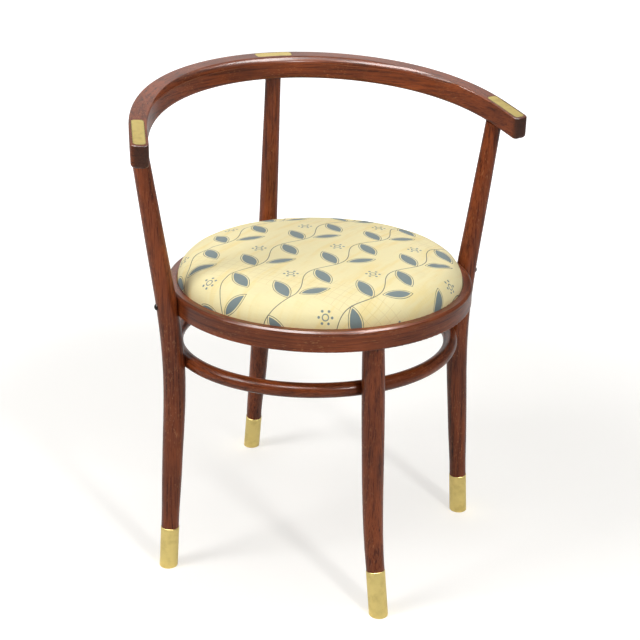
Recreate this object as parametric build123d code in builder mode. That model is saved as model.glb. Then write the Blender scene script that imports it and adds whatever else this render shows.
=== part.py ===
from build123d import *
from math import atan, cos, degrees, radians, sin, sqrt, tan
import os

# Bentwood armchair, millimetres, +Z up, front towards -Y.
# The origin is on the floor, midway between the front and the back foot.

# Seat ring
seat_axis_y = -31.0
ring_radius = 233.0
ring_bottom = 417.0
ring_wall = 15.0
ring_lip_width = 11.5
ring_shoulder_drop = 2.8
ring_shoulder_round = 2.5
ring_edge_round = 2.0
ledge_width = 27.0
ledge_thickness = 11.0

# Upholstered seat
cover_thickness = 1.0
cover_overreach = 12.4
board_thickness = 12.0
board_recess = 6.5
cushion_shoulder_radius = 34.0
cushion_dome_angle = 6.0

# Legs: diameters down their length
ankle_diameter = 27.4
calf_diameter = 33.6
waist_diameter = 31.4
post_top_diameter = 25.0
front_top_diameter = 29.0

# Side legs, measured from the seat axis and from where they pass the ring
side_leg_forward = 12.0
side_let_in = 2.0
side_post_forward = 8.5
side_knee_drop = 85.0
side_bend_radius = 800.0
side_foot_out = 9.8
side_foot_forward = 10.5

# Front and back legs
foot_reach = 290.5
front_knee_height = 130.0
front_knee_forward = 21.5
front_bend_radius = 690.0
back_let_in = 8.0
back_knee_drop = 62.0
back_bend_radius = 720.0

# Ferrules on the feet
ferrule_diameter = 28.6
ferrule_length = 68.0
ferrule_wall = 1.3
ferrule_floor = 2.5
ferrule_rim_round = 0.6
ferrule_foot_round = 1.2

# Stretcher hoop
hoop_height = 340.0
hoop_diameter = 22.0
hoop_let_in = 3.1

# Arm rail: plan of its centre line, then heights of its top
rail_width = 25.6
rail_back_y = 187.0
rail_back_radius = 269.0
rail_back_angle = 20.0
rail_shoulder_radius = 299.0
arm_flare = 12.4
arm_end_y = -101.0
rail_end_round = 8.0
arm_end_height = 688.0
rail_back_height = 749.0
rail_bulge = 6.0
arm_depth = 33.5
rail_back_depth = 34.0
rail_swell = 9.0
rail_comfort_round = 11.5
rail_top_round = 2.2
rail_under_round = 5.5

# Brass plates let into the rail
arm_plate_length = 70.0
back_plate_length = 60.0
plate_side_margin = 3.8
plate_thickness = 2.0
plate_corner_round = 5.5
plate_end_margin = 4.5

# Tenons and screws
post_tenon_diameter = 15.0
post_tenon_length = 14.0
front_tenon_diameter = 18.0
rail_screw_sink = 1.5
rail_screw_length = 40.0
rail_screw_shank = 4.0
rail_screw_head = 8.0
ring_screw_margin = 2.0
ring_screw_shank = 4.5
ring_screw_head = 9.5
ring_screw_dome = 3.2
hoop_screw_bite = 12.0
hoop_screw_shank = 4.0
hoop_screw_head = 8.0
hoop_screw_dome = 2.4
board_screw_bite = 7.0
board_screw_shank = 3.6
board_screw_head = 7.2
board_screw_count = 4
board_screw_angle = 45.0
tack_length = 8.0
tack_shank = 1.6
tack_head = 5.0
tack_dome = 1.2
tack_count = 16

# Clearances
joint_fit = 0.15
soft_gap = 0.3
cover_rabbet_gap = 0.4
bore_depth_gap = 0.5
screw_fit = 0.1

# Sizes that follow from those above
ledge_top = ring_bottom + ledge_thickness
board_bottom = ledge_top + cover_thickness
board_top = board_bottom + board_thickness
ring_top = board_top + board_recess
ring_height = ring_top - ring_bottom
ring_middle = ring_bottom + ring_height / 2
rabbet_radius = ring_radius - ring_wall
ring_opening_radius = rabbet_radius - ledge_width
ledge_middle_radius = (rabbet_radius + ring_opening_radius) / 2
cover_radius = rabbet_radius - cover_rabbet_gap
board_radius = cover_radius - cover_thickness - soft_gap
turn_under_radius = ring_opening_radius - cover_overreach
tack_ring_radius = ring_opening_radius - cover_overreach / 2
plate_width = rail_width - 2 * plate_side_margin
leg_overrun = post_top_diameter
waist_radius = waist_diameter / 2
calf_radius = calf_diameter / 2
ferrule_radius = ferrule_diameter / 2
spigot_radius = ferrule_radius - ferrule_wall
hoop_radius = hoop_diameter / 2
ring_screw_length = waist_diameter - max(side_let_in, back_let_in) + ring_wall - ring_screw_margin
board_screw_length = ledge_thickness + cover_thickness + board_screw_bite
hoop_screw_length = hoop_diameter + hoop_screw_bite
seat_axis = Axis((0, seat_axis_y, 0), (0, 0, 1))
section_plane = Plane(origin=(0, seat_axis_y, 0), x_dir=(1, 0, 0), z_dir=(0, -1, 0))
arm_turn = 90 - arm_flare

# Plan of the rail: a tight back arc, wider shoulder arcs and straight flared arms
back_centre = Vector(0, rail_back_y - rail_back_radius)
shoulder_normal = Vector(sin(radians(rail_back_angle)), cos(radians(rail_back_angle)))
shoulder_centre = back_centre + shoulder_normal * (rail_back_radius - rail_shoulder_radius)
arm_normal = Vector(sin(radians(arm_turn)), cos(radians(arm_turn)))
arm_direction = Vector(arm_normal.Y, -arm_normal.X)
arm_start = shoulder_centre + arm_normal * rail_shoulder_radius
arm_length = (arm_start.Y - arm_end_y) / arm_normal.X
arm_end = arm_start + arm_direction * arm_length
rail_rear_y = rail_back_y + rail_width / 2


def rail_share(y):
    """Share of the way from the arm ends to the back of the rail."""
    return (y - arm_end_y) / (rail_rear_y - arm_end_y)


def rail_top(y):
    """Height of the top of the rail over a depth position."""
    share = rail_share(y)
    slope = arm_end_height + (rail_back_height - arm_end_height) * share
    return slope + 4 * rail_bulge * share * (1 - share)


def rail_under(y):
    """Height of the underside of the rail over a depth position."""
    return rail_top(y) - arm_depth - (rail_back_depth - arm_depth) * rail_share(y)


def post_shoulder(y):
    """Height at which a post stops below the rail."""
    return rail_under(y) - joint_fit


def plate_bed(y):
    """Height of the bed of the brass plates."""
    return rail_top(y) - plate_thickness


def above_rail(y):
    """Height well clear of the rail, for trimming the posts."""
    return rail_top(y) + rail_back_depth


def rail_layer(upper, lower):
    """Layer across the whole chair between two height curves."""
    overrun = rail_width
    stations = (arm_end_y - overrun, (arm_end_y + rail_rear_y) / 2, rail_rear_y + overrun)
    with BuildPart() as layer:
        with BuildSketch(Plane.YZ):
            with BuildLine():
                over = ThreePointArc([(y, upper(y)) for y in stations])
                below = ThreePointArc([(y, lower(y)) for y in stations])
                Line(over @ 0, below @ 0)
                Line(over @ 1, below @ 1)
            make_face()
        extrude(amount=arm_end.X + 2 * rail_width, both=True)
    return layer


def screw(plane, head, dome, shank, length, grow=0.0):
    """Wood screw along a plane's normal; a dome of zero gives a countersunk head."""
    head_radius = head / 2 + grow
    shank_radius = shank / 2 + grow
    reach = length + grow
    tip = reach - shank_radius
    crest = dome + grow if dome else 0.0
    taper = 0.0 if dome else head_radius - shank_radius
    profile = Plane(origin=plane.origin, x_dir=plane.x_dir, z_dir=-plane.y_dir)
    with BuildPart() as body:
        with BuildSketch(profile):
            with BuildLine():
                if dome:
                    bend = (head_radius * sin(radians(45)), -crest * cos(radians(45)))
                    ThreePointArc((0, -crest), bend, (head_radius, 0))
                else:
                    Line((0, 0), (head_radius, 0))
                Polyline((head_radius, 0), (shank_radius, taper), (shank_radius, tip), (0, reach))
                Line((0, reach), (0, -crest))
            make_face()
        revolve(axis=Axis(plane.origin, plane.z_dir))
    return body


def square_to(path, height):
    """Plane square to a leg's centre line where it passes a height."""
    low, high = 0.0, 1.0
    while high - low > 1e-7:
        middle = (low + high) / 2
        if (path @ middle).Z < height:
            low = middle
        else:
            high = middle
    return Plane(origin=path @ low, x_dir=(1, 0, 0), z_dir=path % low)


# Centre lines of the legs
side_waist_radius = ring_radius - side_let_in + waist_radius
side_waist_x = sqrt(side_waist_radius**2 - side_leg_forward**2)
side_waist = Vector(side_waist_x, seat_axis_y - side_leg_forward, ring_middle)
side_post_y = seat_axis_y - side_post_forward
side_post_x = arm_start.X + (arm_start.Y - side_post_y) * arm_normal.Y / arm_normal.X
side_head = Vector(side_post_x, side_post_y, post_shoulder(side_post_y))
side_lean = (side_head - side_waist).normalized()
side_knee = side_waist - side_lean * side_knee_drop
side_foot = Vector(side_waist.X + side_foot_out, side_waist.Y - side_foot_forward, 0)
with BuildLine():
    side_end = side_head + side_lean * leg_overrun
    side_path = FilletPolyline(side_foot, side_knee, side_end, radius=side_bend_radius)

back_waist = Vector(0, seat_axis_y + ring_radius - back_let_in + waist_radius, ring_middle)
back_head = Vector(0, rail_back_y, post_shoulder(rail_back_y))
back_lean = (back_head - back_waist).normalized()
back_knee = back_waist - back_lean * back_knee_drop
back_foot = Vector(0, foot_reach, 0)
with BuildLine():
    back_end = back_head + back_lean * leg_overrun
    back_path = FilletPolyline(back_foot, back_knee, back_end, radius=back_bend_radius)

front_head = Vector(0, seat_axis_y - ledge_middle_radius, ring_bottom)
front_knee = Vector(0, front_head.Y - front_knee_forward, front_knee_height)
front_lean = (front_head - front_knee).normalized()
front_foot = Vector(0, -foot_reach, 0)
with BuildLine():
    front_end = front_head + front_lean * leg_overrun
    front_path = FilletPolyline(front_foot, front_knee, front_end, radius=front_bend_radius)

# The hoop lies against the inside of all four legs
hoop_reach = calf_radius + hoop_radius - hoop_let_in
hoop_front_y = square_to(front_path, hoop_height).origin.Y + hoop_reach
hoop_back_y = square_to(back_path, hoop_height).origin.Y - hoop_reach
hoop_middle_y = (hoop_front_y + hoop_back_y) / 2
hoop_half_depth = (hoop_back_y - hoop_front_y) / 2
hoop_side = square_to(side_path, hoop_height).origin
hoop_side_share = (hoop_side.Y - hoop_middle_y) / hoop_half_depth
hoop_half_width = (hoop_side.X - hoop_reach) / sqrt(1 - hoop_side_share**2)

# Screw places: each plane looks into the wood along the screw
side_screw_inward = Vector(-side_waist.X, side_leg_forward, 0).normalized()
side_screw_place = side_waist - side_screw_inward * waist_radius
side_screw_plane = Plane(side_screw_place, x_dir=(0, 0, 1), z_dir=side_screw_inward)
back_screw_plane = Plane(back_waist + Vector(0, waist_radius, 0), x_dir=(0, 0, 1), z_dir=(0, -1, 0))
side_hoop_plane = Plane(
    (hoop_side.X - hoop_reach - hoop_radius, hoop_side.Y, hoop_height), x_dir=(0, 0, 1), z_dir=(1, 0, 0)
)
front_hoop_plane = Plane((0, hoop_front_y + hoop_radius, hoop_height), x_dir=(0, 0, 1), z_dir=(0, -1, 0))
back_hoop_plane = Plane((0, hoop_back_y - hoop_radius, hoop_height), x_dir=(0, 0, 1), z_dir=(0, 1, 0))


def post_screw_plane(head, lean):
    """Top of a rail screw, sunk under its plate and pointing down the post."""
    rise = (plate_bed(head.Y) - head.Z) / lean.Z - rail_screw_sink
    return Plane(head + lean * rise, x_dir=(1, 0, 0), z_dir=-lean)


def mirrored(plane):
    """The same place on the left side of the chair."""
    flip = Vector(plane.origin.X * -1, plane.origin.Y, plane.origin.Z)
    normal = Vector(plane.z_dir.X * -1, plane.z_dir.Y, plane.z_dir.Z)
    across = Vector(plane.x_dir.X * -1, plane.x_dir.Y, plane.x_dir.Z)
    return Plane(flip, x_dir=across, z_dir=normal)


side_post_plane = post_screw_plane(side_head, side_lean)
back_post_plane = post_screw_plane(back_head, back_lean)
rail_screw_planes = [side_post_plane, mirrored(side_post_plane), back_post_plane]
ring_screw_planes = [side_screw_plane, mirrored(side_screw_plane), back_screw_plane]
hoop_screw_planes = [side_hoop_plane, mirrored(side_hoop_plane), front_hoop_plane, back_hoop_plane]


def seat_circle_planes(radius, height, count, turn):
    """Upward planes evenly round the seat axis."""
    planes = []
    for step in range(count):
        angle = radians(turn + 360 * step / count)
        place = (radius * cos(angle), seat_axis_y + radius * sin(angle), height)
        planes.append(Plane(place, x_dir=(1, 0, 0), z_dir=(0, 0, 1)))
    return planes


board_screw_planes = seat_circle_planes(
    ledge_middle_radius, ring_bottom, board_screw_count, board_screw_angle
)
tack_planes = seat_circle_planes(tack_ring_radius, ledge_top, tack_count, 180 / tack_count)


def screw_set(planes, head, dome, shank, length, grow=0.0):
    """A group of equal screws, or with growth the holes that they fill."""
    screws = [screw(plane, head, dome, shank, length, grow).part for plane in planes]
    with BuildPart() as group:
        add(screws)
    return group


def rail_screw_set(grow=0.0):
    """Countersunk screws from the rail down into the posts."""
    return screw_set(rail_screw_planes, rail_screw_head, 0.0, rail_screw_shank, rail_screw_length, grow)


def ring_screw_set(grow=0.0):
    """Dome-head screws through the legs into the seat ring."""
    head, shank = ring_screw_head, ring_screw_shank
    return screw_set(ring_screw_planes, head, ring_screw_dome, shank, ring_screw_length, grow)


def hoop_screw_set(grow=0.0):
    """Dome-head screws through the hoop into the legs."""
    head, shank = hoop_screw_head, hoop_screw_shank
    return screw_set(hoop_screw_planes, head, hoop_screw_dome, shank, hoop_screw_length, grow)


def board_screw_set(grow=0.0):
    """Countersunk screws up through the ledge into the board."""
    return screw_set(board_screw_planes, board_screw_head, 0.0, board_screw_shank, board_screw_length, grow)


def tack_set(grow=0.0):
    """Tacks up through the turned-under cover into the board."""
    return screw_set(tack_planes, tack_head, tack_dome, tack_shank, tack_length, grow)


rail_screws = rail_screw_set()
ring_screws = ring_screw_set()
hoop_screws = hoop_screw_set()
board_screws = board_screw_set()
cover_tacks = tack_set()
rail_screw_holes = rail_screw_set(screw_fit)
ring_screw_holes = ring_screw_set(screw_fit)
hoop_screw_holes = hoop_screw_set(screw_fit)
board_screw_holes = board_screw_set(screw_fit)
tack_holes = tack_set(screw_fit)


def hoop_tube(radius):
    """Round bar bent to the oval of the hoop."""
    with BuildPart() as tube:
        with BuildLine(Plane.XY.offset(hoop_height)):
            oval = EllipticalCenterArc((0, hoop_middle_y), hoop_half_width, hoop_half_depth, 45, arc_size=180)
            EllipticalCenterArc((0, hoop_middle_y), hoop_half_width, hoop_half_depth, 225, arc_size=180)
        with BuildSketch(Plane(origin=oval @ 0, z_dir=oval % 0)):
            Circle(radius)
        sweep()
    return tube


hoop_groove = hoop_tube(hoop_radius + joint_fit)
hoop_bar = hoop_tube(hoop_radius)
with BuildPart() as stretcher_hoop:
    add(hoop_bar.part)
    add(hoop_screw_holes.part, mode=Mode.SUBTRACT)

# Seat ring with a rabbet for the seat
with BuildPart() as seat_ring:
    with BuildSketch(section_plane) as ring_section:
        with BuildLine():
            Polyline(
                (ring_opening_radius, ring_bottom),
                (ring_radius, ring_bottom),
                (ring_radius, ring_top - ring_shoulder_drop),
                (rabbet_radius + ring_lip_width, ring_top),
                (rabbet_radius, ring_top),
                (rabbet_radius, ledge_top),
                (ring_opening_radius, ledge_top),
                close=True,
            )
        make_face()
        shoulder_corner = (ring_radius, ring_top - ring_shoulder_drop)
        fillet(ring_section.vertices().sort_by_distance(shoulder_corner)[0], radius=ring_shoulder_round)
        for corner in ((ring_radius, ring_bottom), (rabbet_radius, ring_top)):
            fillet(ring_section.vertices().sort_by_distance(corner)[0], radius=ring_edge_round)
    revolve(axis=seat_axis)
    with Locations((front_head.X, front_head.Y, ring_bottom)):
        Cylinder(front_tenon_diameter / 2 + joint_fit, 2 * ledge_thickness, mode=Mode.SUBTRACT)
    add(ring_screw_holes.part, mode=Mode.SUBTRACT)
    add(board_screw_holes.part, mode=Mode.SUBTRACT)

ring_notch_height = ring_height + 2 * joint_fit
with BuildPart() as ring_notch:
    with Locations((0, seat_axis_y, ring_middle)):
        Cylinder(ring_radius + joint_fit, ring_notch_height)

post_trim = rail_layer(above_rail, post_shoulder)


def tenon_plane(head, lean):
    """Start of a post's tenon, one tenon length below its shoulder."""
    return Plane(head - lean * post_tenon_length, x_dir=(1, 0, 0), z_dir=lean)


def ankle_plane(foot, knee):
    """Plane square to a leg at the top of its ferrule."""
    rise = (knee - foot).normalized()
    return Plane(foot + rise * ferrule_length, x_dir=(1, 0, 0), z_dir=rise)


def foot_plug(ankle, radius, floor):
    """Round plug from an ankle down to a level floor."""
    with BuildPart() as plug:
        with BuildSketch(ankle):
            Circle(radius)
        extrude(amount=-2 * ferrule_length)
        split(bisect_by=Plane.XY.offset(floor), keep=Keep.TOP)
    return plug


def post_radius(height, head_height):
    """Radius of a post between the seat ring and the rail."""
    share = (height - ring_middle) / (head_height - ring_middle)
    return waist_radius + (post_top_diameter / 2 - waist_radius) * share


def shin_radius(height):
    """Radius of a leg between its ferrule and the hoop."""
    share = (height - ferrule_length) / (hoop_height - ferrule_length)
    return (ankle_diameter + (calf_diameter - ankle_diameter) * sin(radians(90 * share))) / 2


def long_leg(path, ankle, head, lean):
    """Leg and post in one piece, with its spigot below and its tenon above."""
    shin_step = (hoop_height - ferrule_length) / 4
    post_step = (head.Z - ring_middle) / 3
    shin = [ferrule_length + shin_step * step for step in (1, 2, 3)]
    post = [ring_middle + post_step * step for step in (1, 2, 3)]
    spigot = foot_plug(ankle, spigot_radius, ferrule_floor + joint_fit)
    with BuildPart() as leg:
        with BuildSketch(ankle):
            Circle(ankle_diameter / 2)
        for height in shin:
            with BuildSketch(square_to(path, height)):
                Circle(shin_radius(height))
        with BuildSketch(square_to(path, hoop_height)):
            Circle(calf_radius)
        with BuildSketch(square_to(path, ring_middle)):
            Circle(waist_radius)
        for height in post:
            with BuildSketch(square_to(path, height)):
                Circle(post_radius(height, head.Z))
        with BuildSketch(Plane(path @ 1, x_dir=(1, 0, 0), z_dir=lean)):
            Circle(post_top_diameter / 2)
        loft()
        add(post_trim.part, mode=Mode.SUBTRACT)
        with BuildSketch(tenon_plane(head, lean)):
            Circle(post_tenon_diameter / 2)
        extrude(amount=2 * post_tenon_length)
        add(spigot.part)
        add(ring_notch.part, mode=Mode.SUBTRACT)
        add(hoop_groove.part, mode=Mode.SUBTRACT)
        add(ring_screw_holes.part, mode=Mode.SUBTRACT)
        add(hoop_screw_holes.part, mode=Mode.SUBTRACT)
        add(rail_screw_holes.part, mode=Mode.SUBTRACT)
    return leg


def ferrule(ankle):
    """Brass cup with a level floor on one foot."""
    bore = foot_plug(ankle, spigot_radius + joint_fit, ferrule_floor)
    plug = foot_plug(ankle, ferrule_radius, 0)
    with BuildPart() as cup:
        add(plug.part)
        fillet(cup.faces().sort_by(Axis.Z)[-1].edges(), radius=ferrule_rim_round)
        fillet(cup.faces().sort_by(Axis.Z)[0].edges(), radius=ferrule_foot_round)
        add(bore.part, mode=Mode.SUBTRACT)
    return cup


side_ankle = ankle_plane(side_foot, side_knee)
back_ankle = ankle_plane(back_foot, back_knee)
front_ankle = ankle_plane(front_foot, front_knee)
right_leg = long_leg(side_path, side_ankle, side_head, side_lean)
with BuildPart() as left_leg:
    mirror(right_leg.part, about=Plane.YZ)
back_leg = long_leg(back_path, back_ankle, back_head, back_lean)

right_ferrule = ferrule(side_ankle)
with BuildPart() as left_ferrule:
    mirror(right_ferrule.part, about=Plane.YZ)
back_ferrule = ferrule(back_ankle)
front_ferrule = ferrule(front_ankle)

# Front leg, which ends under the seat ring
front_step = (hoop_height - ferrule_length) / 4
front_spigot = foot_plug(front_ankle, spigot_radius, ferrule_floor + joint_fit)
with BuildPart() as front_leg:
    with BuildSketch(front_ankle):
        Circle(ankle_diameter / 2)
    for shin_height in [ferrule_length + front_step * step for step in (1, 2, 3)]:
        with BuildSketch(square_to(front_path, shin_height)):
            Circle(shin_radius(shin_height))
    with BuildSketch(square_to(front_path, hoop_height)):
        Circle(calf_radius)
    with BuildSketch(Plane(front_path @ 1, x_dir=(1, 0, 0), z_dir=front_lean)):
        Circle(front_top_diameter / 2)
    loft()
    split(bisect_by=Plane.XY.offset(ring_bottom - joint_fit), keep=Keep.BOTTOM)
    with BuildSketch(Plane.XY.offset(ring_bottom - ledge_thickness)):
        with Locations((front_head.X, front_head.Y)):
            Circle(front_tenon_diameter / 2)
    extrude(amount=2 * ledge_thickness - bore_depth_gap)
    add(front_spigot.part)
    add(hoop_groove.part, mode=Mode.SUBTRACT)
    add(hoop_screw_holes.part, mode=Mode.SUBTRACT)

# Brass plates: each outline is cut from the top layer of the rail
plate_layer = rail_layer(rail_top, plate_bed)
pocket_layer = rail_layer(above_rail, plate_bed)
arm_plate_middle = arm_end - arm_direction * (plate_end_margin + arm_plate_length / 2)
arm_plate_plane = Plane((arm_plate_middle.X, arm_plate_middle.Y, 0), x_dir=arm_direction, z_dir=(0, 0, 1))
back_plate_half_angle = degrees(back_plate_length / 2 / rail_back_radius)


def arm_plate(layer, grow=0.0):
    """Straight plate on the right arm, cut to a layer."""
    with BuildPart() as plate:
        with BuildSketch(arm_plate_plane):
            RectangleRounded(arm_plate_length + 2 * grow, plate_width + 2 * grow, plate_corner_round + grow)
        extrude(amount=2 * rail_back_height)
        add(layer.part, mode=Mode.INTERSECT)
    return plate


def rear_plate(layer, grow=0.0):
    """Plate on the back that follows the curve of the rail, cut to a layer."""
    reach = back_plate_half_angle + degrees(grow / rail_back_radius)
    half_width = plate_width / 2 + grow
    with BuildPart() as plate:
        with BuildSketch() as outline:
            with BuildLine():
                outer = CenterArc(back_centre, rail_back_radius + half_width, 90 - reach, 2 * reach)
                inner = CenterArc(back_centre, rail_back_radius - half_width, 90 - reach, 2 * reach)
                Line(outer @ 0, inner @ 0)
                Line(outer @ 1, inner @ 1)
            make_face()
            fillet(outline.vertices(), radius=plate_corner_round + grow)
        extrude(amount=2 * rail_back_height)
        add(layer.part, mode=Mode.INTERSECT)
    return plate


right_arm_plate = arm_plate(plate_layer)
with BuildPart() as left_arm_plate:
    mirror(right_arm_plate.part, about=Plane.YZ)
back_plate = rear_plate(plate_layer)

# Arm rail: the plan cut to the layer between its top and its underside
rail_body = rail_layer(rail_top, rail_under)
half_width = rail_width / 2
inner_half = half_width - rail_swell * arm_normal.Y
inner_shift = Vector(0, -rail_swell)

# The underside slopes up from the arm ends, which limits its rounding at their corners
corner_share = 0.9
arm_slope = atan((rail_under(arm_end_y + rail_width) - rail_under(arm_end_y)) / rail_width)
corner_limit = rail_end_round * cos(arm_slope) * tan((radians(90) - arm_slope) / 2)
under_round = min(rail_under_round, corner_share * corner_limit)

# Rounding of the upper inner edge, full at the back and running out towards the arms
comfort_y = rail_back_y - inner_half - rail_swell
comfort_tilt = atan((rail_top(rail_back_y) - rail_top(comfort_y)) / (rail_back_y - comfort_y))
comfort_run = rail_comfort_round / tan((radians(90) + comfort_tilt) / 2)
comfort_plan_radius = (rail_back_radius + rail_shoulder_radius) / 2 - inner_half
comfort_edge = Vector(comfort_y, rail_top(comfort_y))
comfort_slope = Vector(cos(comfort_tilt), sin(comfort_tilt))
comfort_low = comfort_edge - Vector(0, comfort_run)
comfort_high = comfort_edge + comfort_slope * comfort_run
comfort_centre = comfort_low + Vector(rail_comfort_round, 0)
comfort_middle = comfort_centre + (comfort_edge - comfort_centre).normalized() * rail_comfort_round
comfort_above = comfort_high + Vector(-comfort_slope.Y, comfort_slope.X) * rail_comfort_round
comfort_corner = Vector(comfort_low.X - rail_comfort_round, comfort_above.Y)
comfort_pivot = comfort_edge - comfort_slope * comfort_plan_radius
comfort_axis = Axis((0, comfort_pivot.X, comfort_pivot.Y), (0, -comfort_slope.Y, comfort_slope.X))
with BuildPart() as comfort_cut:
    with BuildSketch(Plane.YZ):
        with BuildLine():
            ThreePointArc(comfort_low, comfort_middle, comfort_high)
            comfort_side = (comfort_corner.X, comfort_low.Y)
            Polyline(comfort_high, comfort_above, comfort_corner, comfort_side, comfort_low)
        make_face()
    revolve(axis=comfort_axis)

side_bore = tenon_plane(side_head, side_lean)
back_bore = tenon_plane(back_head, back_lean)
arm_pocket = arm_plate(pocket_layer, joint_fit)
rear_pocket = rear_plate(pocket_layer, joint_fit)
with BuildPart() as arm_rail:
    with BuildSketch() as rail_plan:
        with BuildLine():
            for side, shift in ((half_width, Vector(0, 0)), (-inner_half, inner_shift)):
                CenterArc(back_centre + shift, rail_back_radius + side, 90, -rail_back_angle)
                sweep_angle = rail_back_angle - arm_turn
                turn_radius = rail_shoulder_radius + side
                turn = CenterArc(shoulder_centre + shift, turn_radius, 90 - rail_back_angle, sweep_angle)
                Line(turn @ 1, arm_end + arm_normal * (half_width if side > 0 else -half_width))
            Line(arm_end + arm_normal * half_width, arm_end - arm_normal * half_width)
            Line((0, rail_back_y + half_width), (0, comfort_y))
        make_face()
        mirror(about=Plane.YZ)
        end_corners = rail_plan.vertices().group_by(Axis.Y)[0] + rail_plan.vertices().group_by(Axis.Y)[1]
        fillet(end_corners, radius=rail_end_round)
    extrude(amount=2 * rail_back_height)
    add(rail_body.part, mode=Mode.INTERSECT)
    top_faces = arm_rail.faces().filter_by(lambda face: face.normal_at().Z > 0.7)
    fillet(top_faces.edges(), radius=rail_top_round)
    under_faces = arm_rail.faces().filter_by(lambda face: face.normal_at().Z < -0.7)
    fillet(under_faces.edges(), radius=under_round)
    add(comfort_cut.part, mode=Mode.SUBTRACT)
    for bore in (side_bore, mirrored(side_bore), back_bore):
        with BuildSketch(bore):
            Circle(post_tenon_diameter / 2 + joint_fit)
        extrude(amount=2 * post_tenon_length + bore_depth_gap, mode=Mode.SUBTRACT)
    add(arm_pocket.part, mode=Mode.SUBTRACT)
    mirror(arm_pocket.part, about=Plane.YZ, mode=Mode.SUBTRACT)
    add(rear_pocket.part, mode=Mode.SUBTRACT)
    add(rail_screw_holes.part, mode=Mode.SUBTRACT)


def cushion_crown(inset):
    """Shoulder and dome of the cushion, set in from its outside by a distance."""
    bend = cushion_shoulder_radius - inset
    centre_radius = cover_radius - cushion_shoulder_radius
    edge = (
        centre_radius + bend * sin(radians(cushion_dome_angle)),
        ring_top + bend * cos(radians(cushion_dome_angle)),
    )
    middle = (centre_radius + bend * cos(radians(45)), ring_top + bend * sin(radians(45)))
    dome_radius = edge[0] / sin(radians(cushion_dome_angle))
    half_angle = radians(cushion_dome_angle / 2)
    dome_centre = edge[1] - dome_radius * cos(radians(cushion_dome_angle))
    dome_middle = (dome_radius * sin(half_angle), dome_centre + dome_radius * cos(half_angle))
    crest = (0, dome_centre + dome_radius)
    shoulder_arc = ThreePointArc((cover_radius - inset, ring_top), middle, edge)
    ThreePointArc(edge, dome_middle, crest)
    return shoulder_arc @ 0, Vector(*crest)


# Woven cover: crowned top, straight side in the rabbet and an edge turned under the board
with BuildPart() as seat_cover:
    with BuildSketch(section_plane):
        with BuildLine():
            outer_edge, outer_crest = cushion_crown(0.0)
            inner_edge, inner_crest = cushion_crown(cover_thickness)
            Line(outer_crest, inner_crest)
            Polyline(outer_edge, (cover_radius, ledge_top), (turn_under_radius, ledge_top))
            Line((turn_under_radius, ledge_top), (turn_under_radius, board_bottom))
            Polyline((turn_under_radius, board_bottom), (inner_edge.X, board_bottom), inner_edge)
        make_face()
    revolve(axis=seat_axis)
    add(board_screw_holes.part, mode=Mode.SUBTRACT)
    add(tack_holes.part, mode=Mode.SUBTRACT)

# Plywood board in the rabbet
with BuildPart() as seat_board:
    with BuildSketch(Plane((0, seat_axis_y, board_bottom))):
        Circle(board_radius)
    extrude(amount=board_thickness)
    add(board_screw_holes.part, mode=Mode.SUBTRACT)
    add(tack_holes.part, mode=Mode.SUBTRACT)

# Crowned padding between the board and the cover
with BuildPart() as seat_padding:
    with BuildSketch(section_plane):
        with BuildLine():
            pad_edge, pad_crest = cushion_crown(cover_thickness + soft_gap)
            Polyline(pad_edge, (pad_edge.X, board_top), (0, board_top), pad_crest)
        make_face()
    revolve(axis=seat_axis)

pieces = {
    "arm_rail": arm_rail,
    "left_arm_plate": left_arm_plate,
    "right_arm_plate": right_arm_plate,
    "back_plate": back_plate,
    "rail_screws": rail_screws,
    "left_leg": left_leg,
    "right_leg": right_leg,
    "back_leg": back_leg,
    "front_leg": front_leg,
    "left_ferrule": left_ferrule,
    "right_ferrule": right_ferrule,
    "back_ferrule": back_ferrule,
    "front_ferrule": front_ferrule,
    "seat_ring": seat_ring,
    "ring_screws": ring_screws,
    "stretcher_hoop": stretcher_hoop,
    "hoop_screws": hoop_screws,
    "seat_board": seat_board,
    "board_screws": board_screws,
    "seat_padding": seat_padding,
    "seat_cover": seat_cover,
    "cover_tacks": cover_tacks,
}

os.makedirs("parts", exist_ok=True)
for name, piece in pieces.items():
    piece.part.label = name
    export_step(piece.part, f"parts/{name}.step")
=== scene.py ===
"""Bentwood armchair with brass feet and a round upholstered seat."""

import logging
import math
from dataclasses import dataclass
from enum import Enum

import bmesh
import bpy
from mathutils import Matrix, Vector, noise


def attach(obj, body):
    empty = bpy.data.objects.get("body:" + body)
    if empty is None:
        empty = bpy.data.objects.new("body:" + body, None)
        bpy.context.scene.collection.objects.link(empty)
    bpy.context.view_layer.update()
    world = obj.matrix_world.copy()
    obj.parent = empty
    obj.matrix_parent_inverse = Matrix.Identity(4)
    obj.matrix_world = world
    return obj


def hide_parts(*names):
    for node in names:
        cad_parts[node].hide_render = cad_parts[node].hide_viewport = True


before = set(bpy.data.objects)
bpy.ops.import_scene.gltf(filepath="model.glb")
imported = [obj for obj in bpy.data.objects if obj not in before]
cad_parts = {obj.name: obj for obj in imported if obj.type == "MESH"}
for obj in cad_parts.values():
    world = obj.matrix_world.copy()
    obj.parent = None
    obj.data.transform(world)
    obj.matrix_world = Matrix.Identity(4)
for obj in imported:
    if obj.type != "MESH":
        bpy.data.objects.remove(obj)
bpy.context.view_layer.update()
BODY = "root"

# Sizes that several pieces share, in metres
SEAT_AXIS_Y = -0.031
LEDGE_TOP = 0.428

# Brass plates in the rail, which have a finish of their own and are spared by two lamps
PLATES = ("left_arm_plate", "right_arm_plate", "back_plate")

# Sockets that share a name with others of their node, by number
MIX_BELOW, MIX_ON_TOP, MIX_RESULT = 6, 7, 2
RANDOM_MOST, RANDOM_RESULT = 3, 1

Point = tuple[float, float, float]
Colour = tuple[float, float, float]
Pair = tuple[float, float]
Value = float | bpy.types.NodeSocket

log = logging.getLogger("armchair")


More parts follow.
